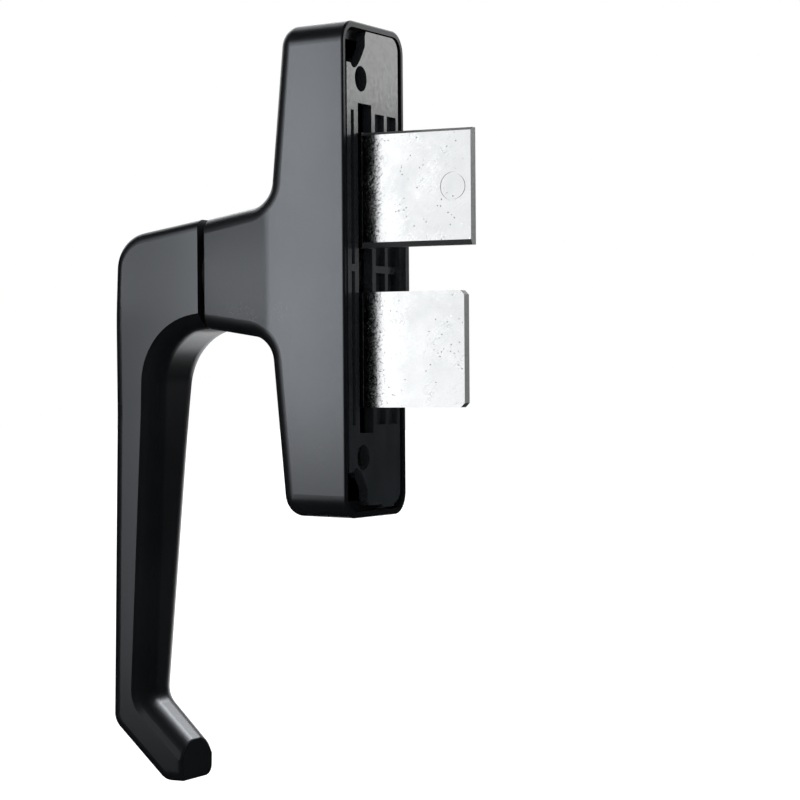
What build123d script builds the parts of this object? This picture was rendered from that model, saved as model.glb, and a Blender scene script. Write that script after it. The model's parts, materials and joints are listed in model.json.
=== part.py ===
"""Casement window handle with two driven prongs.

Frame: the turning axis is +Y through the origin and the mounting plane is Y = 0.
The room side is at -Y, the prongs point to +Y, and the housing runs along Z.
"""

import os
from math import acos, ceil, cos, floor, pi, radians, sin, sqrt, tan

from build123d import *

os.makedirs("parts", exist_ok=True)

# How near a point lies to a face to count as on it, and how far a cut runs past one
touch = 0.01
overshoot = 1.0

# Housing, all sizes in millimetres and angles in degrees
housing_height = 118.0
housing_width = 32.0
end_depth = 17.4
front_slope = 5.3
side_draft = 1.5
corner_radius = 5.5
edge_radius = 3.8
rear_edge = 0.5
rim_wall = 1.4
rim_wall_end = 1.5
front_wall = 2.4
side_wall = 3.6
end_wall = 4.0
cavity_corner = 3.0
floor_half = 15.0

# Neck of the housing
neck_depth = 40.7
neck_width = 24.8
neck_height = 26.8
neck_taper = 8.5
neck_fillet = 6.5
neck_blend = 14.0
neck_end_round = 0.5

# Back plate
plate_recess = 0.3
plate_thickness = 2.4
plate_side_gap = 1.3
plate_end_gap = 0.8
plate_shift = 0.5
plate_corner = 3.4
slot_left = 0.8
slot_width = 7.0
slot_to_hole = 5.85
pocket_depth = 1.5
pocket_cross_rib = 1.7
pocket_long_rib = 1.5
pocket_edge_wall = 1.2
pocket_slot_wall = 1.8
pocket_end_wall = 1.9
groove_slot_wall = 2.0
groove_width = 1.6
lug_height = 2.0
lug_width = 1.8
lug_overhang = 1.0
lug_half = 27.0
lug_step_height = 0.9
lug_step_width = 1.2
tab_width = 6.4
tab_length = 0.7
peg_x = -7.5
peg_past_hole = 3.85
peg_diameter = 3.0
peg_length = 5.0
peg_boss_diameter = 6.6

# Fixing holes, and the cut-away corner beside each, measured from the hole
fixing_x = 6.15
fixing_end_margin = 13.85
fixing_clear_diameter = 6.1
cutaway_start = (5.2, 3.35)
cutaway_trough = (3.95, 2.35)
cutaway_shoulder = (0.55, 4.15)
cutaway_side = (-2.25, 7.95)
cutaway_flare = 1.0
cutaway_flare_height = 1.2
insert_diameter = 7.0
insert_bore = 4.3
insert_length = 10.0
boss_diameter = 10.0

# Lever
gap = 1.65
lever_half_width = 12.4
lever_shoulder_z = -10.0
lever_waist_half = 10.7
lever_waist_z = -34.0
lever_shoulder_radius = 120.0
lever_tip_half = 7.6
hub_top = 13.35
hub_top_slope = 9.4
hub_bottom = -13.2
hub_bottom_slope = 8.0
hub_corner = 9.2
hub_depth = 23.95
lever_lean = 2.55
arm_inner_depth = 12.75
arm_inner_lean = 4.1
inner_bend_radius = 14.5
bend_drop = 111.2
tip_angle = 44.0
tip_end_depth = 8.6
tip_bottom = -125.4
tip_height = 9.9
bend_outer_radius = 5.0
bend_inner_radius = 5.0
tip_bottom_radius = 4.0
lever_edge = 2.7
crown_depth = 3.6
crown_width = 3.3
crown_radius = 7.0
end_face_edge = 1.0

# Shank, bush and axial stack
shank_diameter = 12.0
shank_end = 14.5
square_size = 7.0
square_depth = 13.5
fit_clearance = 0.05
bush_wall = 1.45
bush_flange_diameter = 21.0
flange_clearance = 0.1
washer_thickness = 0.8
ring_thickness = 1.0
ring_diameter = 15.0
ring_mouth = 3.0
ear_hole_radius = 0.6
ear_wall = 0.5
groove_depth = 0.8
spring_diameter = 14.8
spring_thickness = 0.6
spring_rise = 0.4
loose_clearance = 0.2

# Pinion and racks
module_size = 0.75
tooth_count = 10
pressure_angle = 20.0
rack_addendum = 0.42
pinion_addendum = 0.75
tooth_root_clearance = 0.15
backlash = 0.14
gear_top = 3.0
slide_thickness = 4.6
slide_top_clearance = 0.15
slide_half_width = 7.7
rail_clearance = 0.3
rail_width = 1.6
ledge_width = 2.2
ledge_start = 14.0
turn_range = 90.0
flank_steps = 3

# Detent cam and spring
cam_flats = 11.0
cam_corner_radius = 6.6
cam_length = 5.0
cam_clearance = 0.4
collar_diameter = 11.0
spring_strip = 0.5
strip_width = 3.6
strip_half_length = 13.0
post_diameter = 2.8
post_foot_diameter = 4.6
post_z = -10.6

# Prongs, and the foot of each in the slot
prong_near_face = 7.3
prong_thickness = 2.7
prong_inner_z = 5.3
slot_end_clearance = 0.71
upper_reach = 29.0
lower_reach = 27.1
upper_bevel = 1.2
upper_bevel_depth = 0.7
lower_corner = 1.0
foot_side_clearance = 0.4
foot_height = 0.5
bridge_start = 13.0
bar_joint = 0.2
rack_spare_teeth = 2
mark_diameter = 6.8
mark_depth = 0.15
mark_y = 24.5
mark_rim = 0.45

# Worked-out places
half_height = housing_height / 2
half_width = housing_width / 2
slope = tan(radians(front_slope))
taper_ratio = tan(radians(neck_taper))
neck_half = neck_height / 2
neck_root_z = (neck_half + taper_ratio * (neck_depth - end_depth - slope * half_height)) / (
    1 - taper_ratio * slope
)
neck_root_depth = end_depth + (half_height - neck_root_z) * slope
end_z = half_height - end_depth * tan(radians(side_draft))
flank_x = half_width - neck_root_depth * tan(radians(side_draft))
cavity_end_floor = end_depth - front_wall
floor_depth = cavity_end_floor + (half_height - floor_half) * slope
rim_width = housing_width - 2 * rim_wall
rim_height = housing_height - 2 * rim_wall_end
plate_half_width = rim_width / 2 - plate_side_gap
plate_half_height = rim_height / 2 - plate_end_gap
fixing_half_spacing = half_height - fixing_end_margin
fixing_places = [(fixing_x, plate_shift + side * fixing_half_spacing) for side in (1, -1)]
peg_places = [
    (peg_x, plate_shift + side * (fixing_half_spacing + peg_past_hole)) for side in (1, -1)
]
slot_half = fixing_half_spacing - slot_to_hole
plate_back = plate_recess + plate_thickness
slide_top = plate_back + slide_top_clearance
slide_bottom = slide_top + slide_thickness
rail_inner = slide_half_width + rail_clearance
rail_outer = rail_inner + rail_width
lever_start = neck_depth + gap
lever_front = lever_start + hub_depth
arm_inner_top = lever_start + arm_inner_depth
tip_end = lever_start + tip_end_depth
shank_radius = shank_diameter / 2
bush_bore_radius = shank_radius + fit_clearance
bush_radius = bush_bore_radius + bush_wall
washer_top = floor_depth - washer_thickness
washer_diameter = 2 * (rail_inner - rail_clearance)
spring_top = washer_top - spring_thickness - spring_rise - fit_clearance
ring_top = spring_top - fit_clearance - ring_thickness
pitch_radius = module_size * tooth_count / 2
tooth_pitch = pi * module_size
travel = pitch_radius * radians(turn_range)
prong_outer_z = slot_half - travel - slot_end_clearance
cam_top = slide_bottom + cam_clearance
cam_bottom = cam_top + cam_length
strip_top = cam_top + (cam_length - strip_width) / 2
strip_bottom = strip_top + strip_width
strip_inner = cam_flats / 2 + fit_clearance
post_x = strip_inner - post_diameter / 2
slot_right = slot_left + slot_width
slot_centre = slot_left + slot_width / 2
pocket_half = slot_half - pocket_end_wall
pocket_left = -plate_half_width + pocket_edge_wall
pocket_right = slot_left - pocket_slot_wall
pocket_width = (pocket_right - pocket_left - pocket_long_rib) / 2
lug_centre = -plate_half_width - lug_overhang + lug_width / 2
lug_step_centre = lug_centre + (lug_width + lug_step_width) / 2


def by_midpoint(test):
    """An edge filter that looks at the edge's middle point."""
    return lambda edge: test(*tuple(edge @ 0.5))


def mirrored_rectangles(width, low, high, x, middle=0.0):
    """Two rectangles over the same X, one above and one below the middle."""
    for side in (1, -1):
        with Locations((x, middle + side * (low + high) / 2)):
            Rectangle(width, high - low)


# Hollow of the housing as a body: the rails, ledges, bosses and posts are left out of it
with BuildPart() as hollow:
    with BuildSketch(Plane.XZ):
        RectangleRounded(
            housing_width - 2 * side_wall, housing_height - 2 * end_wall, cavity_corner
        )
    extrude(amount=floor_depth + overshoot)
    with BuildSketch(Plane.YZ):
        with BuildLine():
            Polyline(
                (overshoot, 0),
                (overshoot, half_height),
                (-cavity_end_floor, half_height),
                (-floor_depth, floor_half),
                (-floor_depth, 0),
            )
            mirror(about=Plane.XZ)
        make_face()
    extrude(amount=half_width, both=True, mode=Mode.INTERSECT)
    with BuildSketch(Plane.XZ.offset(plate_back)):
        for side in (1, -1):
            with Locations((side * (rail_inner + rail_outer) / 2, 0)):
                Rectangle(rail_width, 2 * slot_half)
        with Locations(*fixing_places):
            Circle(boss_diameter / 2)
        with Locations(*peg_places):
            Circle(peg_boss_diameter / 2)
    extrude(amount=floor_depth, mode=Mode.SUBTRACT)
    with BuildSketch(Plane.XZ.offset(slide_bottom + slide_top_clearance)):
        for side in (1, -1):
            mirrored_rectangles(
                ledge_width, ledge_start, slot_half, side * (rail_inner - ledge_width / 2)
            )
    extrude(amount=floor_depth, mode=Mode.SUBTRACT)
    with BuildSketch(Plane.XZ.offset(strip_top)):
        with Locations((post_x, post_z), (-post_x, post_z)):
            Circle(post_diameter / 2)
    extrude(amount=floor_depth, mode=Mode.SUBTRACT)
    with BuildSketch(Plane.XZ.offset(strip_bottom)):
        with Locations((post_x, post_z), (-post_x, post_z)):
            Circle(post_foot_diameter / 2)
    extrude(amount=floor_depth, mode=Mode.SUBTRACT)

# Housing: side profile and plan profile crossed, then hollowed
with BuildPart() as housing:
    with BuildSketch(Plane.YZ) as side_profile:
        with BuildLine():
            Polyline(
                (0, 0),
                (0, half_height),
                (-end_depth, end_z),
                (-neck_root_depth, neck_root_z),
                (-neck_depth, neck_half),
                (-neck_depth, 0),
            )
            mirror(about=Plane.XZ)
        make_face()
        roots = [v for v in side_profile.vertices() if abs(abs(v.Y) - neck_root_z) < touch]
        fillet(roots, radius=neck_fillet)
    extrude(amount=half_width, both=True)
    with BuildSketch(Plane.XY) as plan_profile:
        with BuildLine():
            Polyline(
                (0, 0),
                (half_width, 0),
                (flank_x, -neck_root_depth),
                (neck_width / 2, -neck_depth),
                (0, -neck_depth),
            )
            mirror(about=Plane.YZ)
        make_face()
        flanks = [v for v in plan_profile.vertices() if abs(v.Y + neck_root_depth) < touch]
        fillet(flanks, radius=neck_blend)
    extrude(amount=half_height, both=True, mode=Mode.INTERSECT)
    corners = housing.edges().filter_by(
        by_midpoint(
            lambda x, y, z: abs(z) > half_height - corner_radius
            and abs(x) > half_width - corner_radius
        )
    )
    fillet([e for e in corners if e.length > end_depth / 2], radius=corner_radius)
    outer_edges = housing.edges().filter_by(
        by_midpoint(
            lambda x, y, z: -neck_depth + touch < y < -end_depth + edge_radius
            and abs(z) > neck_half - edge_radius / 2
            and (
                abs(x) > neck_width / 2 - edge_radius / 2
                or abs(z) > half_height - corner_radius
            )
        )
    )
    fillet(outer_edges, radius=edge_radius)
    rear_edges = housing.edges().filter_by(by_midpoint(lambda x, y, z: y > -touch))
    fillet(rear_edges, radius=rear_edge)
    end_rim = housing.faces().sort_by(Axis.Y)[0].outer_wire().edges()
    fillet(end_rim, radius=neck_end_round)
    with BuildSketch(Plane.XZ):
        RectangleRounded(rim_width, rim_height, corner_radius - rim_wall)
    extrude(amount=plate_back, mode=Mode.SUBTRACT)
    add(hollow.part, mode=Mode.SUBTRACT)
    with BuildSketch(Plane.XZ.offset(plate_back)):
        with Locations(*fixing_places):
            Circle(insert_diameter / 2)
    extrude(amount=insert_length, mode=Mode.SUBTRACT)
    with BuildSketch(Plane.XZ.offset(plate_back)):
        with Locations(*peg_places):
            Circle(peg_diameter / 2 + fit_clearance)
    extrude(amount=peg_length + loose_clearance, mode=Mode.SUBTRACT)
    with BuildSketch(Plane.XZ.offset(floor_depth)):
        Circle(bush_radius)
    extrude(amount=neck_depth - floor_depth, mode=Mode.SUBTRACT)
housing.part.label = "housing"
export_step(housing.part, "parts/housing.step")

# Moulded back plate with slot, pockets, fixing holes and two cut-away corners
with BuildPart() as back_plate:
    with BuildSketch(Plane.XZ.offset(plate_recess)):
        with Locations((0, plate_shift)):
            RectangleRounded(2 * plate_half_width, 2 * plate_half_height, plate_corner)
        with Locations(
            (-plate_half_width + plate_corner + tab_width / 2, plate_shift - plate_half_height)
        ):
            Rectangle(tab_width, 2 * tab_length)
    extrude(amount=plate_thickness)
    with BuildSketch(Plane.XZ.offset(plate_recess)):
        with Locations((slot_centre, plate_shift)):
            Rectangle(slot_width, 2 * slot_half)
        with Locations(*fixing_places):
            Circle(fixing_clear_diameter / 2)
        for side in (1, -1):
            hole_z = plate_shift + side * fixing_half_spacing
            past_x = plate_half_width + overshoot
            past_z = plate_shift + side * (plate_half_height + overshoot)
            flare_x = fixing_x + cutaway_side[0]
            with BuildLine():
                curve = Spline(
                    (fixing_x + cutaway_start[0], hole_z + side * cutaway_start[1]),
                    (fixing_x + cutaway_trough[0], hole_z + side * cutaway_trough[1]),
                    (fixing_x + cutaway_shoulder[0], hole_z + side * cutaway_shoulder[1]),
                    (flare_x, hole_z + side * cutaway_side[1]),
                )
                Polyline(
                    curve @ 1,
                    (flare_x, past_z - side * (overshoot + cutaway_flare_height)),
                    (flare_x - cutaway_flare, past_z),
                    (past_x, past_z),
                    (past_x, hole_z + side * cutaway_start[1]),
                    curve @ 0,
                )
            make_face()
    extrude(amount=plate_thickness, mode=Mode.SUBTRACT)
    with BuildSketch(Plane.XZ.offset(plate_recess)):
        for x, width in (
            (pocket_left + pocket_width / 2, pocket_width),
            (pocket_right - pocket_width / 2, pocket_width),
            (slot_right + groove_slot_wall + groove_width / 2, groove_width),
        ):
            mirrored_rectangles(width, pocket_cross_rib / 2, pocket_half, x, plate_shift)
    extrude(amount=pocket_depth, mode=Mode.SUBTRACT)
    with BuildSketch(Plane.XZ.offset(plate_back)):
        with Locations((lug_centre, 0)):
            Rectangle(lug_width, 2 * lug_half)
    extrude(amount=-(plate_back + lug_height))
    with BuildSketch(Plane.XZ.offset(plate_recess)):
        with Locations((lug_step_centre, 0)):
            Rectangle(lug_step_width, 2 * lug_half)
    extrude(amount=-(plate_recess + lug_step_height))
    with BuildSketch(Plane.XZ.offset(plate_back)):
        with Locations(*peg_places):
            Circle(peg_diameter / 2)
    extrude(amount=peg_length)
back_plate.part.label = "back_plate"
export_step(back_plate.part, "parts/back_plate.step")

# Threaded bushes behind the fixing holes
for name, place in zip(("upper_insert", "lower_insert"), fixing_places):
    with BuildPart() as insert:
        with BuildSketch(Plane.XZ.offset(plate_back)):
            with Locations(place):
                Circle(insert_diameter / 2)
                Circle(insert_bore / 2, mode=Mode.SUBTRACT)
        extrude(amount=insert_length)
    insert.part.label = name
    export_step(insert.part, f"parts/{name}.step")

# Flanged bush in the neck
with BuildPart() as neck_bush:
    with BuildSketch(Plane.XZ.offset(floor_depth)):
        Circle(bush_radius)
    extrude(amount=neck_depth - floor_depth)
    with BuildSketch(Plane.XZ.offset(neck_depth)):
        Circle(bush_flange_diameter / 2)
    extrude(amount=gap - flange_clearance)
    with BuildSketch(Plane.XZ.offset(floor_depth)):
        Circle(bush_bore_radius)
    extrude(amount=neck_depth + gap - floor_depth, mode=Mode.SUBTRACT)
neck_bush.part.label = "neck_bush"
export_step(neck_bush.part, "parts/neck_bush.step")

# Thrust washer on the cavity floor
with BuildPart() as thrust_washer:
    with BuildSketch(Plane.XZ.offset(washer_top)):
        Circle(washer_diameter / 2)
        Circle(shank_radius + loose_clearance, mode=Mode.SUBTRACT)
    extrude(amount=washer_thickness)
thrust_washer.part.label = "thrust_washer"
export_step(thrust_washer.part, "parts/thrust_washer.step")

# Coned spring washer, its wide rim towards the thrust washer
with BuildPart() as disc_spring:
    with BuildSketch(Plane.XY):
        with BuildLine():
            inner = shank_radius + loose_clearance
            outer = spring_diameter / 2
            Polyline(
                (inner, -spring_top),
                (outer, -spring_top - spring_rise),
                (outer, -spring_top - spring_rise - spring_thickness),
                (inner, -spring_top - spring_thickness),
                close=True,
            )
        make_face()
    revolve(axis=Axis.Y)
disc_spring.part.label = "disc_spring"
export_step(disc_spring.part, "parts/disc_spring.step")

# Open retaining ring in the shank's groove, with an ear on each side of its mouth
groove_radius = shank_radius - groove_depth
ear_middle = (groove_radius + ring_diameter / 2) / 2
ear_x = ring_mouth / 2 + ear_wall + ear_hole_radius
ear_y = sqrt(ear_middle**2 - ear_x**2)
ear_places = [(side * ear_x, ear_y) for side in (1, -1)]

with BuildPart() as retaining_ring:
    with BuildSketch(Plane.XZ.offset(ring_top)):
        Circle(ring_diameter / 2)
        Circle(groove_radius + fit_clearance, mode=Mode.SUBTRACT)
        with Locations((0, ring_diameter / 2)):
            Rectangle(ring_mouth, ring_diameter, mode=Mode.SUBTRACT)
        with Locations(*ear_places):
            Circle(ear_hole_radius, mode=Mode.SUBTRACT)
    extrude(amount=ring_thickness)
retaining_ring.part.label = "retaining_ring"
export_step(retaining_ring.part, "parts/retaining_ring.step")

# Lever: bent grip with its shank, cast in one
front_ratio = tan(radians(lever_lean))
inner_ratio = tan(radians(arm_inner_lean))
tip_ratio = tan(radians(tip_angle))
hub_front_z = hub_top - (lever_front - lever_start) * tan(radians(hub_top_slope))
inner_corner_z = hub_bottom - (arm_inner_top - lever_start) * tan(radians(hub_bottom_slope))
bend_front = lever_front + bend_drop * front_ratio
tip_flat_start = bend_front - (-tip_bottom - bend_drop) / tip_ratio
tip_inner_z = tip_bottom + tip_height
bend_inner_z = (
    tip_inner_z + (arm_inner_top - tip_end + inner_corner_z * inner_ratio) * tip_ratio
) / (1 + inner_ratio * tip_ratio)
bend_inner = arm_inner_top + (inner_corner_z - bend_inner_z) * inner_ratio


def is_inner_chain(y, z):
    """Whether a point of the grip's profile lies on the side that faces the housing."""
    on_arm = bend_inner_z < z < hub_bottom and y > -bend_inner - overshoot
    on_tip = z <= bend_inner_z and z > tip_inner_z - (tip_end + y) * tip_ratio - tip_height / 2
    return on_arm or on_tip


with BuildPart() as lever:
    with BuildSketch(Plane.YZ) as grip_profile:
        with BuildLine():
            Polyline(
                (-lever_start, hub_top),
                (-lever_front, hub_front_z),
                (-bend_front, -bend_drop),
                (-tip_flat_start, tip_bottom),
                (-tip_end, tip_bottom),
                (-tip_end, tip_inner_z),
                (-bend_inner, bend_inner_z),
                (-arm_inner_top, inner_corner_z),
                (-lever_start, hub_bottom),
                close=True,
            )
        make_face()
        rounds = (
            ((-lever_front, hub_front_z), hub_corner),
            ((-bend_front, -bend_drop), bend_outer_radius),
            ((-tip_flat_start, tip_bottom), tip_bottom_radius),
            ((-bend_inner, bend_inner_z), bend_inner_radius),
            ((-arm_inner_top, inner_corner_z), inner_bend_radius),
        )
        for (y, z), radius in rounds:
            corner = [
                v for v in grip_profile.vertices() if abs(v.X - y) + abs(v.Y - z) < touch
            ]
            fillet(corner, radius=radius)
    extrude(amount=lever_half_width + overshoot, both=True)
    with BuildSketch(Plane.XZ) as front_outline:
        with BuildLine():
            Polyline(
                (0, hub_top + overshoot),
                (lever_half_width, hub_top + overshoot),
                (lever_half_width, lever_shoulder_z),
                (lever_waist_half, lever_waist_z),
                (lever_tip_half, tip_bottom - overshoot),
                (0, tip_bottom - overshoot),
            )
            mirror(about=Plane.YZ)
        make_face()
        shoulders = [
            v for v in front_outline.vertices() if v.Y in (lever_shoulder_z, lever_waist_z)
        ]
        fillet(shoulders, radius=lever_shoulder_radius)
    extrude(amount=bend_front + overshoot, mode=Mode.INTERSECT)
    outer_face_edges = lever.edges().filter_by(
        by_midpoint(
            lambda x, y, z: abs(x) > touch and y < -tip_end - touch and not is_inner_chain(y, z)
        )
    )
    fillet(outer_face_edges, radius=lever_edge)
    for side in (1, -1):
        inner_face_edges = lever.edges().filter_by(
            by_midpoint(lambda x, y, z: side * x > touch and is_inner_chain(y, z))
        )
        arm_edge = inner_face_edges.sort_by(SortBy.LENGTH)[-1]
        flank = max(
            (f for f in lever.faces() if any(e.is_same(arm_edge) for e in f.edges())),
            key=lambda f: abs(f.normal_at(arm_edge @ 0.5).X),
        )
        chamfer(arm_edge, length=crown_depth, length2=crown_width, reference=flank)
    inner_faces = lever.faces().filter_by(
        lambda f: abs(f.normal_at().X) < touch and is_inner_chain(f.center().Y, f.center().Z)
    )
    crown_edges = ShapeList()
    for face in inner_faces:
        crown_edges += face.edges().filter_by(by_midpoint(lambda x, y, z: abs(x) > touch))
    fillet(crown_edges, radius=crown_radius)
    end_face = lever.faces().filter_by(lambda f: abs(f.center().Y + tip_end) < touch)[0]
    fillet(end_face.edges(), radius=end_face_edge)
    with BuildSketch(Plane.XZ.offset(shank_end)):
        Circle(shank_radius)
    extrude(amount=lever_start - shank_end + overshoot)
    with BuildSketch(Plane.XZ.offset(ring_top - fit_clearance)):
        Circle(shank_radius + overshoot)
        Circle(groove_radius, mode=Mode.SUBTRACT)
    extrude(amount=ring_thickness + 2 * fit_clearance, mode=Mode.SUBTRACT)
    with BuildSketch(Plane.XZ.offset(shank_end)):
        Rectangle(square_size + 2 * fit_clearance, square_size + 2 * fit_clearance)
    extrude(amount=square_depth + loose_clearance, mode=Mode.SUBTRACT)
lever.part.label = "lever"
export_step(lever.part, "parts/lever.step")

# Drive pinion: square tang, detent cam and ten teeth in one
base_radius = pitch_radius * cos(radians(pressure_angle))
tip_radius = pitch_radius + pinion_addendum
root_radius = pitch_radius - rack_addendum - tooth_root_clearance
tooth_width = tooth_pitch / 2 - backlash


def involute(radius):
    """The involute function at a radius of the pinion."""
    angle = acos(min(1.0, base_radius / radius))
    return tan(angle) - angle


def flank_angle(radius):
    """Half the angle that a pinion tooth takes up at a radius."""
    return tooth_width / 2 / pitch_radius + involute(pitch_radius) - involute(max(radius, base_radius))


flank_radii = [root_radius] + [
    base_radius + (tip_radius - base_radius) * k / flank_steps for k in range(flank_steps + 1)
]

with BuildPart() as drive_pinion:
    with BuildSketch(Plane.XZ.offset(gear_top)):
        Circle(root_radius)
        for tooth in range(tooth_count):
            turn = 2 * pi * tooth / tooth_count
            rising = [(r, turn - flank_angle(r)) for r in flank_radii]
            falling = [(r, turn + flank_angle(r)) for r in reversed(flank_radii)]
            with BuildLine():
                Polyline(
                    (0, 0),
                    *[(r * cos(a), r * sin(a)) for r, a in rising + falling],
                    close=True,
                )
            make_face()
    extrude(amount=slide_bottom - gear_top)
    with BuildSketch(Plane.XZ.offset(slide_bottom)):
        Circle(root_radius)
    extrude(amount=cam_top - slide_bottom)
    with BuildSketch(Plane.XZ.offset(cam_top)):
        Rectangle(cam_flats, cam_flats)
        Circle(cam_corner_radius, mode=Mode.INTERSECT)
    extrude(amount=cam_length)
    with BuildSketch(Plane.XZ.offset(cam_bottom)):
        Circle(collar_diameter / 2)
    extrude(amount=shank_end - cam_bottom)
    with BuildSketch(Plane.XZ.offset(shank_end)):
        Rectangle(square_size, square_size)
    extrude(amount=square_depth)
drive_pinion.part.label = "drive_pinion"
export_step(drive_pinion.part, "parts/drive_pinion.step")

# Sprung clip whose two legs lie on the flats of the cam
with BuildPart() as detent_spring:
    with BuildSketch(Plane.XZ.offset(strip_top)):
        bow_radius = strip_inner + spring_strip / 2
        with BuildLine():
            Line((bow_radius, strip_half_length), (bow_radius, post_z))
            ThreePointArc(
                (bow_radius, post_z), (0, post_z - bow_radius), (-bow_radius, post_z)
            )
            Line((-bow_radius, post_z), (-bow_radius, strip_half_length))
        trace(line_width=spring_strip)
    extrude(amount=strip_width)
detent_spring.part.label = "detent_spring"
export_step(detent_spring.part, "parts/detent_spring.step")


def rack_teeth(low, high):
    """Numbers of the rack teeth whose middles lie between two heights at rest."""
    return range(ceil(low / tooth_pitch - 0.5), floor(high / tooth_pitch - 0.5) + 1)


rack_tip = pitch_radius - rack_addendum
rack_root = pitch_radius + pinion_addendum + tooth_root_clearance
rack_end = travel + rack_spare_teeth * tooth_pitch
tooth_lean = tan(radians(pressure_angle))

# Each slide carries a rack, a bridge under the plate, a foot in the slot and its prong
for name, rack_side, prong_side, reach in (
    ("upper_slide", -1, 1, upper_reach),
    ("lower_slide", 1, -1, lower_reach),
):
    with BuildPart() as slide:
        with BuildSketch(Plane.XZ.offset(slide_top)):
            bar_high = prong_outer_z
            with Locations(
                (rack_side * (rack_root + slide_half_width) / 2, prong_side * (bar_high - rack_end) / 2)
            ):
                Rectangle(slide_half_width - rack_root, bar_high + rack_end)
            for k in rack_teeth(-rack_end, rack_end - 0.5 * tooth_pitch):
                tooth_z = -prong_side * (k + 0.5) * tooth_pitch
                if prong_side * tooth_z < bridge_start - tooth_pitch:
                    tip_half = tooth_width / 2 - rack_addendum * tooth_lean
                    root_half = tooth_width / 2 + (rack_root - pitch_radius) * tooth_lean
                    with BuildLine():
                        Polyline(
                            (rack_side * (rack_root + bar_joint), tooth_z - root_half),
                            (rack_side * rack_root, tooth_z - root_half),
                            (rack_side * rack_tip, tooth_z - tip_half),
                            (rack_side * rack_tip, tooth_z + tip_half),
                            (rack_side * rack_root, tooth_z + root_half),
                            (rack_side * (rack_root + bar_joint), tooth_z + root_half),
                            close=True,
                        )
                    make_face()
            with Locations((0, prong_side * (bridge_start + bar_high) / 2)):
                Rectangle(2 * slide_half_width, bar_high - bridge_start)
        extrude(amount=slide_thickness)
        foot_left = slot_left + foot_side_clearance
        foot_right = slot_right - foot_side_clearance
        with BuildSketch(Plane.XZ.offset(slide_top)):
            with Locations(
                ((foot_left + foot_right) / 2, prong_side * (bridge_start + bar_high) / 2)
            ):
                Rectangle(foot_right - foot_left, bar_high - bridge_start)
        extrude(amount=-(slide_top + foot_height))
        with BuildSketch(Plane.XZ.offset(slide_top - rail_clearance)):
            with Locations(
                ((foot_left + foot_right) / 2, prong_side * (prong_inner_z + bridge_start) / 2)
            ):
                Rectangle(foot_right - foot_left, bridge_start - prong_inner_z)
        extrude(amount=-(slide_top - rail_clearance + foot_height))
        with BuildSketch(Plane.YZ.offset(prong_near_face - prong_thickness)):
            with Locations((reach / 2, prong_side * (prong_inner_z + prong_outer_z) / 2)):
                Rectangle(reach, prong_outer_z - prong_inner_z)
        extrude(amount=prong_thickness)
    if name == "upper_slide":
        upper_slide = slide
    else:
        lower_slide = slide

with BuildPart() as upper_finished:
    add(upper_slide.part)
    near_long = upper_finished.edges().filter_by(
        by_midpoint(
            lambda x, y, z: abs(x - prong_near_face) < touch
            and foot_height < y < upper_reach - touch
        )
    )
    chamfer(near_long, length=upper_bevel_depth, length2=upper_bevel)
    with BuildSketch(Plane.YZ.offset(prong_near_face)):
        with Locations((mark_y, (prong_inner_z + prong_outer_z) / 2)):
            Circle(mark_diameter / 2)
            Circle(mark_diameter / 2 - mark_rim, mode=Mode.SUBTRACT)
    extrude(amount=-mark_depth, mode=Mode.SUBTRACT)
upper_finished.part.label = "upper_slide"
export_step(upper_finished.part, "parts/upper_slide.step")

with BuildPart() as lower_finished:
    add(lower_slide.part)
    tip_corners = lower_finished.edges().filter_by(
        by_midpoint(
            lambda x, y, z: abs(y - lower_reach) < touch
            and abs(x - prong_near_face + prong_thickness / 2) < touch
        )
    )
    chamfer(tip_corners, length=lower_corner)
lower_finished.part.label = "lower_slide"
export_step(lower_finished.part, "parts/lower_slide.step")
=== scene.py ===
"""Looks of the two-prong window handle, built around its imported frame.

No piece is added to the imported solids. Each gets a node material, and the rest is studio: the
photo's camera, a white floor and world, soft boxes, and black flags for the dark reflections.
"""

import json
import math

import bpy
from mathutils import Matrix, Vector


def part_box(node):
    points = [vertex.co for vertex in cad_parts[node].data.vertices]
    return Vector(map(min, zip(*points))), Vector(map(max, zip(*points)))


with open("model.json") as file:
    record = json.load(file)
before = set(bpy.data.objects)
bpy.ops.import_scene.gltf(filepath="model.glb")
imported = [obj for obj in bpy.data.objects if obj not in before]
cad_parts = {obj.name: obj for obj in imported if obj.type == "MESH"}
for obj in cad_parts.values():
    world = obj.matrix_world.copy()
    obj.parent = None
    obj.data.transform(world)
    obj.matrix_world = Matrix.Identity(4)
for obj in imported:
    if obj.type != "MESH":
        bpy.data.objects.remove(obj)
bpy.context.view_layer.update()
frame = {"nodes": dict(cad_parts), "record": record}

MM = 0.001

# Camera, from a perspective fit to the photo, which is 800 pixels wide and high
IMAGE_SIDE = 800
FOCAL_PIXELS = 2533.66
SENSOR_IN_MM = 36.0
CAMERA_PLACE = Vector((541.517, 280.191, -26.861)) * MM
CAMERA_YAW = math.radians(26.814)
CAMERA_PITCH = math.radians(-0.390)
CAMERA_ROLL = math.radians(-0.3936)
NEAREST_SEEN = 0.01
FARTHEST_SEEN = 50.0


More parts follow.
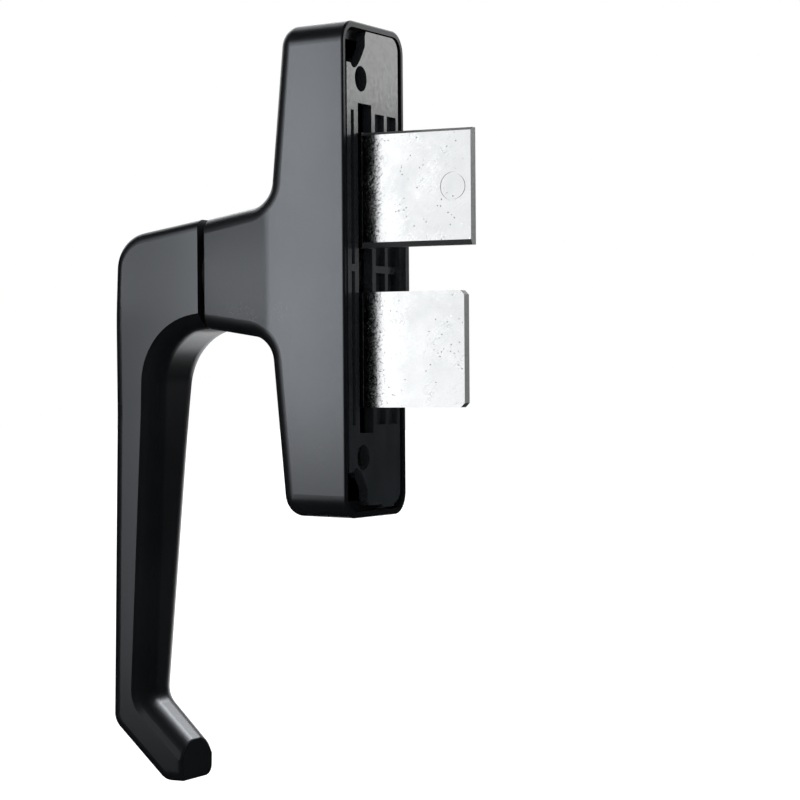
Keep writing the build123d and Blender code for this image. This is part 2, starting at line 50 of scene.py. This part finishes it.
def add_camera():
    """The photo's viewpoint: level, beside the handle and a little on the window's side of it."""
    back = Vector((
        math.cos(CAMERA_YAW) * math.cos(CAMERA_PITCH),
        math.sin(CAMERA_YAW) * math.cos(CAMERA_PITCH),
        -math.sin(CAMERA_PITCH),
    ))
    level = Vector((-math.sin(CAMERA_YAW), math.cos(CAMERA_YAW), 0.0))
    steep = back.cross(level)
    right = math.cos(CAMERA_ROLL) * level + math.sin(CAMERA_ROLL) * steep
    up = -math.sin(CAMERA_ROLL) * level + math.cos(CAMERA_ROLL) * steep
    data = bpy.data.cameras.new("camera")
    data.sensor_width = SENSOR_IN_MM
    data.lens = FOCAL_PIXELS / IMAGE_SIDE * SENSOR_IN_MM
    data.clip_start = NEAREST_SEEN
    data.clip_end = FARTHEST_SEEN
    camera = bpy.data.objects.new("camera", data)
    turn = Matrix((right, up, back)).transposed()
    camera.matrix_world = Matrix.Translation(CAMERA_PLACE) @ turn.to_4x4()
    bpy.context.scene.collection.objects.link(camera)
    bpy.context.scene.camera = camera


add_camera()
bpy.context.scene.view_settings.view_transform = "Standard"


# Materials

# Most of a noise lies within the wide range, and its middle part within the narrow one
WIDE = (0.3, 0.7)
NARROW = (0.35, 0.65)

COAT_TONES = ((0.0055, 0.0062, 0.0072), (0.0075, 0.0084, 0.0098))
COAT_TINT = (0.88, 0.93, 1.0, 1.0)
COAT_IOR = 1.85
COAT_GLOSS = 0.55
RIM_GLOSS = 0.12

PLASTIC_TONES = ((0.018, 0.022, 0.0245), (0.027, 0.031, 0.035))
PLASTIC_IOR = 1.8
PLASTIC_GLOSS = 0.7

NYLON_TONES = ((0.008, 0.008, 0.009), (0.015, 0.015, 0.016))

PLATING_TONES = ((0.78, 0.80, 0.815), (0.83, 0.845, 0.85))
SCRATCH_TONE = (0.30, 0.31, 0.32)
PIT_TONE = (0.10, 0.105, 0.11)
END_TONES = ((0.26, 0.265, 0.27), (0.50, 0.505, 0.51))
TOP_TONES = ((0.09, 0.092, 0.095), (0.17, 0.175, 0.18))
# Painted shade: the grey skin on the faces below is darker than on those above
SHADED_UNDER_TONES = ((0.04, 0.042, 0.045), (0.075, 0.078, 0.082))
# Painted shade for the part that sits inside the slot
SLOT_SHADE_TONE = (0.05, 0.052, 0.055)
CAST_METAL = 0.25

BRIGHT_STEEL_TONE = (0.56, 0.57, 0.58)
SPRING_STEEL_TONE = (0.28, 0.28, 0.29)
STEEL_SHADE = 0.75

THREAD_TONE = (0.45, 0.455, 0.46, 1.0)
THREAD_PITCH = 0.8 * MM
THREAD_DEPTH = 0.35 * MM


def emptied_tree(owner):
    """The node tree of a material or world, with nothing in it."""
    owner.use_nodes = True
    owner.node_tree.nodes.clear()
    return owner.node_tree


class Look:
    """A node material around one Principled shader, with short calls for its nodes."""

    def __init__(self, name):
        self.material = bpy.data.materials.new(name)
        self.tree = emptied_tree(self.material)
        output = self.node("OutputMaterial")
        self.shader = self.node("BsdfPrincipled")
        self.link(self.shader.outputs["BSDF"], output.inputs["Surface"])
        self.coordinates = self.node("TexCoord")
        self.place = self.coordinates.outputs["Object"]
        self.relief = None

    def node(self, kind, **settings):
        made = self.tree.nodes.new("ShaderNode" + kind)
        for key, value in settings.items():
            setattr(made, key, value)
        return made

    def link(self, source, target):
        self.tree.links.new(source, target)

    def set(self, **values):
        """Sets the shader's own sockets, named with _ for each space."""
        for key, value in values.items():
            self.shader.inputs[key.replace("_", " ")].default_value = value

    def feed(self, name, value):
        """Links a value that varies over the surface to one of the shader's sockets."""
        self.link(value, self.shader.inputs[name])

    def mapped(self, stretch, turn=(0.0, 0.0, 0.0)):
        """The piece's own coordinates, drawn out by these factors along axes turned by degrees."""
        mapping = self.node("Mapping", vector_type="TEXTURE")
        mapping.inputs["Scale"].default_value = stretch
        mapping.inputs["Rotation"].default_value = [math.radians(angle) for angle in turn]
        self.link(self.place, mapping.inputs["Vector"])
        return mapping.outputs["Vector"]

    def noise(self, size, detail=2.0, place=None, roughness=0.5):
        """Noise with grains of about this size in metres."""
        noise = self.node("TexNoise")
        noise.inputs["Scale"].default_value = 1.0 / size
        noise.inputs["Detail"].default_value = detail
        noise.inputs["Roughness"].default_value = roughness
        self.link(place or self.place, noise.inputs["Vector"])
        return noise.outputs["Fac"]

    def cells(self, size):
        """Distance to the nearest of scattered points that lie about this far apart."""
        cells = self.node("TexVoronoi")
        cells.inputs["Scale"].default_value = 1.0 / size
        self.link(self.place, cells.inputs["Vector"])
        return cells.outputs["Distance"]

    def component(self, vector, axis):
        apart = self.node("SeparateXYZ")
        self.link(vector, apart.inputs["Vector"])
        return apart.outputs[axis]

    def along(self, axis):
        """Place along this axis, in metres."""
        return self.component(self.place, axis)

    def facing(self, axis):
        """How far the piece's own surface faces along this axis, from -1 to 1."""
        return self.component(self.coordinates.outputs["Normal"], axis)

    def ramp(self, value, low, high, start=0.0, end=1.0):
        """Value from low..high spread over start..end, and held beyond."""
        spread = self.node("MapRange", clamp=True)
        for socket, number in zip(("From Min", "From Max", "To Min", "To Max"), (low, high, start, end)):
            spread.inputs[socket].default_value = number
        self.link(value, spread.inputs["Value"])
        return spread.outputs["Result"]

    def combine(self, operation, first, second):
        """Result of a Math node, whose inputs are numbers or sockets."""
        made = self.node("Math", operation=operation)
        for socket, value in zip(made.inputs, (first, second)):
            if isinstance(value, (int, float)):
                socket.default_value = value
            else:
                self.link(value, socket)
        return made.outputs["Value"]

    def mix(self, share, first, second):
        """Colour between first and second, each a colour or a socket."""
        mixed = self.node("Mix", data_type="RGBA")
        self.link(share, mixed.inputs["Factor"])
        for socket, value in ((mixed.inputs["A"], first), (mixed.inputs["B"], second)):
            if isinstance(value, tuple):
                socket.default_value = (*value, 1.0)
            else:
                self.link(value, socket)
        return mixed.outputs["Result"]

    def bump(self, value, distance, strength=1.0):
        """Adds a relief of this depth in metres over what was there."""
        bump = self.node("Bump")
        bump.inputs["Strength"].default_value = strength
        bump.inputs["Distance"].default_value = distance
        self.link(value, bump.inputs["Height"])
        if self.relief is not None:
            self.link(self.relief, bump.inputs["Normal"])
        self.relief = bump.outputs["Normal"]
        self.link(self.relief, self.shader.inputs["Normal"])


def powder_coat():
    """Satin black coat: fine grain over a faint orange peel."""
    look = Look("black_coat")
    look.set(IOR=COAT_IOR, Specular_Tint=COAT_TINT)
    # The back rim, which lies on the window, has a thin and dull coat
    look.feed("Specular IOR Level", look.ramp(look.facing("Y"), 0.90, 0.98, COAT_GLOSS, RIM_GLOSS))
    clouds = look.noise(22 * MM, detail=3.0)
    grain = look.noise(0.35 * MM)
    look.feed("Base Color", look.mix(look.ramp(clouds, *NARROW), *COAT_TONES))
    unevenness = look.ramp(clouds, *WIDE, 0.0, 0.03)
    look.feed("Roughness", look.combine("ADD", unevenness, look.ramp(grain, *WIDE, 0.27, 0.32)))
    look.bump(look.noise(1.6 * MM, detail=1.0), 0.012 * MM, strength=0.5)
    look.bump(grain, 0.006 * MM, strength=0.6)
    return look.material


def moulded_plastic():
    """Glossy black moulding with soft flow marks along its height."""
    look = Look("black_plastic")
    look.set(IOR=PLASTIC_IOR, Specular_IOR_Level=PLASTIC_GLOSS)
    flow = look.noise(6 * MM, detail=3.0, place=look.mapped(stretch=(1.0, 1.0, 3.3)))
    look.feed("Base Color", look.mix(look.ramp(flow, *WIDE), *PLASTIC_TONES))
    look.feed("Roughness", look.ramp(look.noise(1.1 * MM, detail=3.0), *WIDE, 0.16, 0.27))
    look.bump(flow, 0.05 * MM, strength=0.35)
    look.bump(look.noise(0.5 * MM), 0.006 * MM, strength=0.5)
    return look.material


def plain_nylon():
    """Dull black nylon with a fine, even grain."""
    look = Look("black_nylon")
    grain = look.noise(0.5 * MM, detail=3.0)
    look.feed("Base Color", look.mix(grain, *NYLON_TONES))
    look.feed("Roughness", look.ramp(grain, *WIDE, 0.5, 0.65))
    look.bump(grain, 0.02 * MM, strength=0.5)
    return look.material


def handling_scratches(look):
    """Fine lines that slant two ways, in the places that are worn."""
    slant = look.mapped(stretch=(1.0, 14.0, 1.0), turn=(38.0, 0.0, 0.0))
    cross = look.mapped(stretch=(1.0, 9.0, 1.0), turn=(-63.0, 0.0, 0.0))
    slanting = look.noise(0.16 * MM, detail=1.0, place=slant)
    crossing = look.noise(0.2 * MM, detail=1.0, place=cross)
    lines = look.combine("MAXIMUM", look.ramp(slanting, 0.60, 0.68), look.ramp(crossing, 0.64, 0.72))
    worn = look.ramp(look.noise(8 * MM), 0.42, 0.62)
    return look.combine("MULTIPLY", lines, worn)


def casting_pits(look):
    """Round pits, gathered in a few places."""
    dots = look.ramp(look.cells(1.2 * MM), 0.07, 0.13, 1.0, 0.0)
    gathered = look.ramp(look.noise(5 * MM), 0.48, 0.58)
    return look.combine("MULTIPLY", dots, gathered)


def cast_faces(look):
    """Masks of the faces at the ends, above and below, each with a jagged border. The mask below carries
    painted shade.
    """
    jags = look.ramp(look.noise(0.7 * MM, detail=3.0, roughness=0.7), *NARROW, -0.1, 0.1)
    ends = look.ramp(look.combine("ADD", look.facing("Y"), jags), 0.45, 0.60)
    above = look.ramp(look.combine("ADD", look.facing("Z"), jags), 0.28, 0.36)
    below = look.ramp(look.combine("SUBTRACT", jags, look.facing("Z")), 0.28, 0.36)
    return ends, above, below


def beyond_root(look):
    """Mask of what stands clear of the slot, with a speckled border a few millimetres wide. Within the slot
    the colour is painted shade.
    """
    specks = look.noise(0.5 * MM, roughness=0.8)
    scatter = look.ramp(specks, *WIDE, -3.5 * MM, 3.5 * MM)
    return look.ramp(look.combine("ADD", look.along("Y"), scatter), 1.5 * MM, 4.5 * MM)


def zinc_plate():
    """Bright plated casting, scratched and pitted, whose ends and long edges keep a grey skin, painted
    darker on the faces below as painted shade.
    """
    look = Look("bright_zinc")
    clouds = look.noise(7 * MM, detail=4.0, roughness=0.6)
    grain = look.noise(0.28 * MM, detail=3.0, roughness=0.7)
    fleck = look.ramp(grain, *NARROW)
    scratches = handling_scratches(look)
    pits = casting_pits(look)
    ends, above, below = cast_faces(look)

    colour = look.mix(look.ramp(clouds, *WIDE), *PLATING_TONES)
    colour = look.mix(look.combine("MULTIPLY", scratches, 0.55), colour, SCRATCH_TONE)
    colour = look.mix(look.combine("MULTIPLY", pits, 0.8), colour, PIT_TONE)
    # The faces below take a darker tone as painted shade
    for mask, tones in ((ends, END_TONES), (above, TOP_TONES), (below, SHADED_UNDER_TONES)):
        colour = look.mix(mask, colour, look.mix(fleck, *tones))
    # Inside the slot the colour is painted shade
    look.feed("Base Color", look.mix(beyond_root(look), SLOT_SHADE_TONE, colour))

    cast = look.combine("MAXIMUM", ends, look.combine("MAXIMUM", above, below))
    look.feed("Metallic", look.ramp(cast, 0.0, 1.0, 1.0, CAST_METAL))
    plating = look.combine(
        "ADD", look.ramp(clouds, *WIDE, 0.12, 0.19), look.combine("MULTIPLY", scratches, 0.12))
    look.feed("Roughness", look.combine("ADD", plating, look.combine("MULTIPLY", cast, 0.3)))
    look.bump(grain, 0.01 * MM, strength=0.7)
    look.bump(scratches, -0.01 * MM, strength=0.6)
    look.bump(pits, -0.08 * MM, strength=0.8)
    return look.material


def plated_steel(name, tone, line_width):
    """Turned or drawn steel with fine lines along Y."""
    look = Look(name)
    look.set(Metallic=1.0)
    lines = look.noise(line_width, detail=3.0, place=look.mapped(stretch=(1.0, 6.7, 1.0)))
    dark = tuple(STEEL_SHADE * part for part in tone)
    look.feed("Base Color", look.mix(look.ramp(lines, *WIDE), dark, tone))
    look.feed("Roughness", look.ramp(lines, *WIDE, 0.24, 0.4))
    look.bump(lines, 0.01 * MM, strength=0.5)
    return look.material


def threaded_steel(axis_x, axis_z):
    """Plated steel whose bore, round an axis along Y, carries a screw thread."""
    look = Look("threaded_steel")
    look.set(Metallic=1.0, Base_Color=THREAD_TONE)
    across = look.combine("SUBTRACT", look.along("X"), axis_x)
    above = look.combine("SUBTRACT", look.along("Z"), axis_z)
    turns = look.combine("DIVIDE", look.combine("ARCTAN2", above, across), 2 * math.pi)
    pitches = look.combine("DIVIDE", look.along("Y"), THREAD_PITCH)
    phase = look.combine("FRACT", look.combine("ADD", pitches, turns), 0.0)
    # The ridge rises over half a pitch and falls over the other half
    half = 0.5
    ridge = look.combine("PINGPONG", phase, half)
    look.feed("Roughness", look.ramp(ridge, 0.0, half, 0.45, 0.25))
    look.bump(ridge, THREAD_DEPTH / half)
    return look.material


LOOKS = {
    "black_coat": powder_coat(),
    "black_plastic": moulded_plastic(),
    "black_nylon": plain_nylon(),
    "bright_zinc": zinc_plate(),
    "bright_steel": plated_steel("bright_steel", BRIGHT_STEEL_TONE, 0.5 * MM),
    "spring_steel": plated_steel("spring_steel", SPRING_STEEL_TONE, 0.4 * MM),
}

slots = {row["node"]: row["material_slot"] for row in frame["record"]["subparts"]}
for node, piece in frame["nodes"].items():
    piece.data.materials.clear()
    if node.endswith("_insert"):
        lowest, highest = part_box(node)
        axis_x, axis_z = ((lowest[k] + highest[k]) / 2 for k in (0, 2))
        piece.data.materials.append(threaded_steel(axis_x, axis_z))
    else:
        piece.data.materials.append(LOOKS[slots[node]])


# Studio

WHITE = (1.0, 1.0, 1.0, 1.0)
WORLD_SEEN = 1.0
WORLD_FILL = 0.62
FLOOR_LEVEL = -0.205
FLOOR_HALF = 8.0
PAPER = (0.9, 0.9, 0.9, 1.0)
PAPER_GLOW = 0.75

# What the flags and boxes stand round, about half way up the object
MIDDLE_HEIGHT = -0.03
BOX_DISTANCE = 0.25

FLAG_BLACK = (0.004, 0.004, 0.005, 1.0)
FLAG_STEP = 5
FLAG_LIFT = 0.004
FLAG_RADIUS = 0.27
# Each window is (first azimuth, last azimuth, lowest, highest elevation) in degrees, with
# azimuths counted from +X towards +Y. The camera sees the first two mirrored in the sides that
# face +X, the next three in the tops, and the last in the undersides of the curves.
WINDOWS = (
    (325, 375, -10, 40),
    (315, 325, -25, 40),
    (140, 235, 20, 60),
    (200, 260, 20, 75),
    (170, 235, 10, 20),
    (185, 215, -35, -5),
)

HUB_FLAG_X = 0.15
HUB_FLAG_Y = (-0.157, -0.133)
HUB_FLAG_Z = (-0.03, 0.05)


def mesh_object(name, corners, faces, material):
    mesh = bpy.data.meshes.new(name)
    mesh.from_pydata(corners, [], faces)
    mesh.update()
    mesh.materials.append(material)
    made = bpy.data.objects.new(name, mesh)
    bpy.context.scene.collection.objects.link(made)
    return made


def shader(tree, kind, **inputs):
    """Output of a new shader node with these values in its inputs."""
    made = tree.nodes.new("ShaderNode" + kind)
    for name, value in inputs.items():
        made.inputs[name].default_value = value
    return made.outputs[0]


def lit_where_seen(tree, lit, unseen):
    """Mixes in the lit shader for camera, glossy and transmission rays."""
    rays = tree.nodes.new("ShaderNodeLightPath")
    seen = rays.outputs["Is Camera Ray"]
    for kind in ("Is Glossy Ray", "Is Transmission Ray"):
        either = tree.nodes.new("ShaderNodeMath")
        either.operation = "MAXIMUM"
        tree.links.new(seen, either.inputs[0])
        tree.links.new(rays.outputs[kind], either.inputs[1])
        seen = either.outputs[0]
    mixed = tree.nodes.new("ShaderNodeMixShader")
    for source, target in zip((seen, unseen, lit), mixed.inputs):
        tree.links.new(source, target)
    return mixed.outputs[0]


def white_world():
    """A world that looks white and lights the object less than that."""
    world = bpy.data.worlds.new("studio")
    bpy.context.scene.world = world
    tree = emptied_tree(world)
    seen = shader(tree, "Background", Color=WHITE, Strength=WORLD_SEEN)
    fill = shader(tree, "Background", Color=WHITE, Strength=WORLD_FILL)
    output = tree.nodes.new("ShaderNodeOutputWorld")
    tree.links.new(lit_where_seen(tree, seen, fill), output.inputs["Surface"])


def white_floor():
    """Pale paper that looks white and keeps the object's shadow."""
    material = bpy.data.materials.new("floor")
    tree = emptied_tree(material)
    paper = shader(tree, "BsdfDiffuse", Color=PAPER)
    glow = shader(tree, "Emission", Strength=PAPER_GLOW)
    both = tree.nodes.new("ShaderNodeAddShader")
    tree.links.new(paper, both.inputs[0])
    tree.links.new(glow, both.inputs[1])
    output = tree.nodes.new("ShaderNodeOutputMaterial")
    tree.links.new(lit_where_seen(tree, both.outputs[0], paper), output.inputs["Surface"])
    side = FLOOR_HALF
    corners = [(x, y, FLOOR_LEVEL) for x, y in ((-side, -side), (side, -side), (side, side), (-side, side))]
    floor = mesh_object("floor", corners, [(0, 1, 2, 3)], material)


def toward(azimuth, elevation, distance):
    """A place in this direction, in degrees, and at this distance from the object's middle."""
    turn, rise = math.radians(azimuth), math.radians(elevation)
    out = distance * math.cos(rise)
    return (out * math.cos(turn), out * math.sin(turn), MIDDLE_HEIGHT + distance * math.sin(rise))


def soft_box(name, place, target, width, height, radiance):
    """An area lamp that faces a target and shows in the gloss at this radiance."""
    data = bpy.data.lights.new(name, "AREA")
    data.shape = "RECTANGLE"
    data.size = width
    data.size_y = height
    data.energy = radiance * math.pi * width * height
    lamp = bpy.data.objects.new(name, data)
    ahead = (Vector(target) - Vector(place)).normalized()
    lamp.rotation_euler = ahead.to_track_quat("-Z", "Y").to_euler()
    lamp.location = place
    lamp.visible_camera = False
    bpy.context.scene.collection.objects.link(lamp)


def black_cards(name, corners, faces):
    """Black cards that show only in the object's reflections."""
    material = bpy.data.materials.new(name)
    tree = emptied_tree(material)
    black = shader(tree, "BsdfDiffuse", Color=FLAG_BLACK)
    output = tree.nodes.new("ShaderNodeOutputMaterial")
    tree.links.new(black, output.inputs["Surface"])
    cards = mesh_object(name, corners, faces, material)
    cards.visible_camera = False
    cards.visible_diffuse = False
    cards.visible_shadow = False


def in_window(azimuth, elevation):
    """Whether this direction lies in one of the windows."""
    return any(
        (azimuth - first) % 360 < last - first and low < elevation < high
        for first, last, low, high in WINDOWS
    )


def black_flags():
    """Black cards all round the object and above the floor, open at the windows."""
    corners, faces = [], []
    for azimuth in range(0, 360, FLAG_STEP):
        for elevation in range(-90, 90, FLAG_STEP):
            if in_window(azimuth + FLAG_STEP / 2, elevation + FLAG_STEP / 2):
                continue
            first = len(corners)
            for across, up in ((0, 0), (1, 0), (1, 1), (0, 1)):
                x, y, z = toward(azimuth + across * FLAG_STEP, elevation + up * FLAG_STEP, FLAG_RADIUS)
                corners.append((x, y, max(z, FLOOR_LEVEL + FLAG_LIFT)))
            faces.append(tuple(range(first, first + 4)))
    black_cards("flags", corners, faces)


def hub_flag():
    """An upright card between the key and neck boxes, which keeps the lever's hub darker."""
    front, back = HUB_FLAG_Y
    low, high = HUB_FLAG_Z
    corners = [(HUB_FLAG_X, y, z) for y, z in ((front, low), (back, low), (back, high), (front, high))]
    black_cards("hub_flag", corners, [(0, 1, 2, 3)])


white_world()
white_floor()

# Each box stands where one kind of face mirrors it towards the camera: the key for the housing's
# side, the rear for edges that face back and up, the rim for the tops of neck and lever, the neck
# for the neck's side, the tip for the top of the bent tip, and the ribs for the back plate
soft_box("key", (0.146, -0.094, 0.03), (0.01, -0.01, 0.03), width=0.026, height=0.145, radiance=3.3)
soft_box("rear", toward(170, 33, BOX_DISTANCE), (0.0, 0.0, -0.02), width=0.2, height=0.12, radiance=0.9)
soft_box("rim", toward(222, 42, BOX_DISTANCE), (0.0, -0.03, 0.0), width=0.1, height=0.1, radiance=2.2)
soft_box("neck", (0.146, -0.178, 0.006), (0.0, -0.03, 0.004), width=0.03, height=0.03, radiance=4.2)
soft_box("tip", (-0.155, -0.005, 0.015), (0.0, -0.052, -0.114), width=0.06, height=0.07, radiance=4.0)
soft_box("ribs", toward(150, 8, BOX_DISTANCE), (0.0, 0.0, 0.0), width=0.05, height=0.04, radiance=0.2)
black_flags()
hub_flag()
